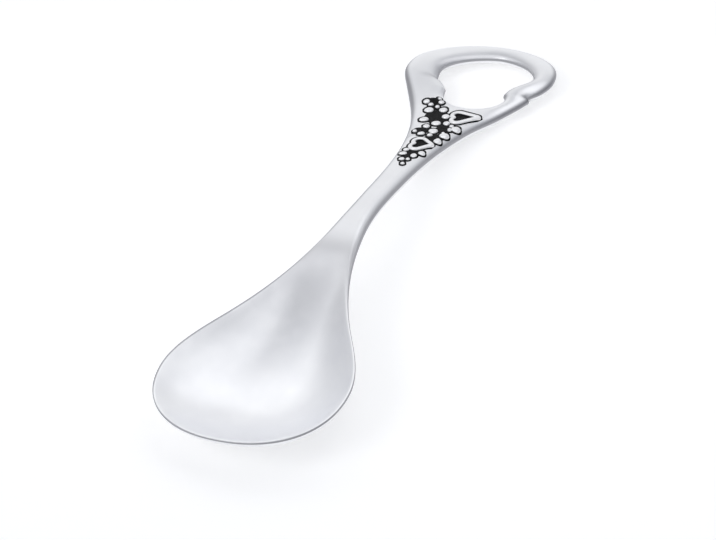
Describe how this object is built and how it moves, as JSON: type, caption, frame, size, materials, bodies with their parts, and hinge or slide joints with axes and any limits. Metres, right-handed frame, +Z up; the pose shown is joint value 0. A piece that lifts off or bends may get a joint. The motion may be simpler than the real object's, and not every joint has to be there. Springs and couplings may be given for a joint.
{
  "type": "baby spoon",
  "caption": "Baby spoon with a wide shallow bowl, an arched stem, a forked yoke with a flower and heart relief, and an open finger loop at the end.",
  "frame": {"origin": "on the table, below the middle of the spoon's length and width", "axes": "+X along the spoon from the bowl to the loop, +Y to the left as seen from the bowl, +Z up"},
  "size_m": [0.12, 0.0342, 0.0103],
  "materials": {
    "satin_metal": "satin, fine scratches",
    "bright_relief": "polished",
    "black_patina": "blackened, matt"
  },
  "bodies": {
    "root": {"spoon_blank": "satin_metal", "loop_bar": "satin_metal", "ornament_bed": "black_patina", "large_blossom": "bright_relief", "arm_blossom": "bright_relief", "stem_blossoms": "bright_relief", "upper_heart": "bright_relief", "lower_heart": "bright_relief", "leaf_buds": "bright_relief", "tail_petals": "bright_relief"}
  },
  "joints": []
}
